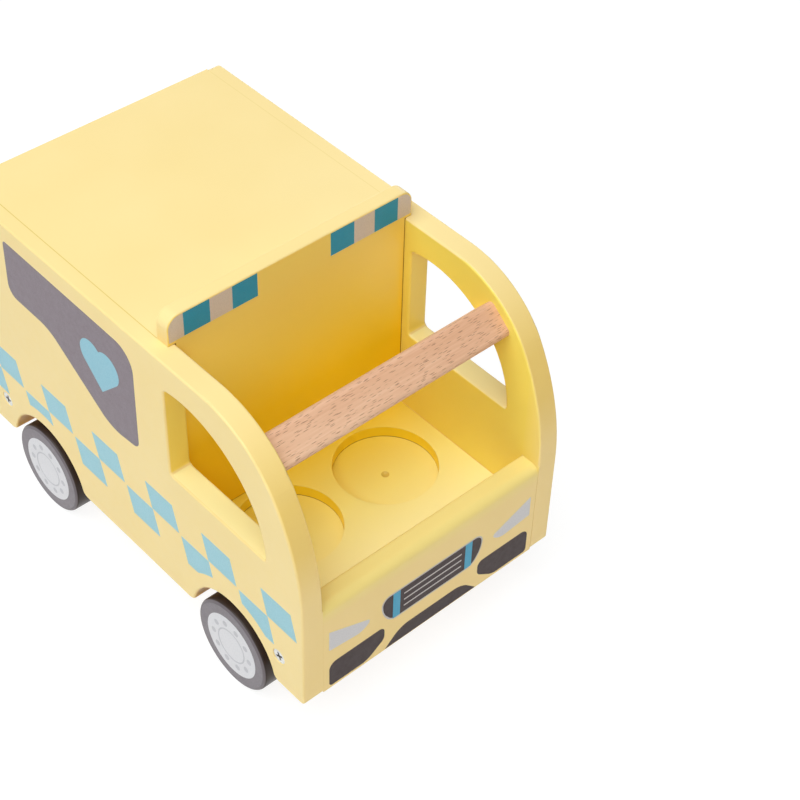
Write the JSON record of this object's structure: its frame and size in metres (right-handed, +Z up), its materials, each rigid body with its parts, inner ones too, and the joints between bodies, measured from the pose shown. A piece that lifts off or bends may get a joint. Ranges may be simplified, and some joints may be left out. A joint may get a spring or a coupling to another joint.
{
  "type": "toy ambulance",
  "caption": "Wooden toy ambulance for peg dolls: open cab with round doll seats and a beech handle bar, load bay with swinging rear doors, rolling wheels.",
  "frame": {"origin": "on the ground, midway between nose and tail and between the two sides", "axes": "+Y to the tail, +X to the toy's left side, +Z up"},
  "size_m": [0.1424, 0.227, 0.1723],
  "materials": {
    "painted_board": "satin paint on board",
    "beech": "clear satin lacquer",
    "wheel_black": "gloss paint",
    "steel": "zinc plated"
  },
  "bodies": {
    "van_body": {"right_side_panel": "painted_board", "left_side_panel": "painted_board", "roof_panel": "painted_board", "bulkhead": "painted_board", "front_panel": "painted_board", "base_board": "painted_board", "handle_bar": "beech", "handle_dowels": "beech", "front_panel_dowels": "beech", "side_screws": "steel", "front_axle_block": "beech", "rear_axle_block": "beech", "axle_block_screws": "steel"},
    "front_wheelset": {"front_axle": "steel", "front_right_wheel": "wheel_black", "front_left_wheel": "wheel_black"},
    "rear_wheelset": {"rear_axle": "steel", "rear_right_wheel": "wheel_black", "rear_left_wheel": "wheel_black"},
    "right_door": {"right_rear_door": "painted_board", "right_door_pins": "steel"},
    "left_door": {"left_rear_door": "painted_board", "left_door_pins": "steel"}
  },
  "joints": [
    {"name": "front_wheels_roll", "type": "hinge", "parent": "van_body", "child": "front_wheelset", "pos_m": [0, -0.0675, 0.0223], "axis": [1, 0, 0], "continuous": true},
    {"name": "rear_wheels_roll", "type": "hinge", "parent": "van_body", "child": "rear_wheelset", "pos_m": [0, 0.0675, 0.0223], "axis": [1, 0, 0], "continuous": true},
    {"name": "right_door_hinge", "type": "hinge", "parent": "van_body", "child": "right_door", "pos_m": [-0.05415, 0.10875, 0.1026], "axis": [0, 0, 1], "range_deg": [0, 95]},
    {"name": "left_door_hinge", "type": "hinge", "parent": "van_body", "child": "left_door", "pos_m": [0.05415, 0.10875, 0.1026], "axis": [0, 0, -1], "range_deg": [0, 95]}
  ]
}
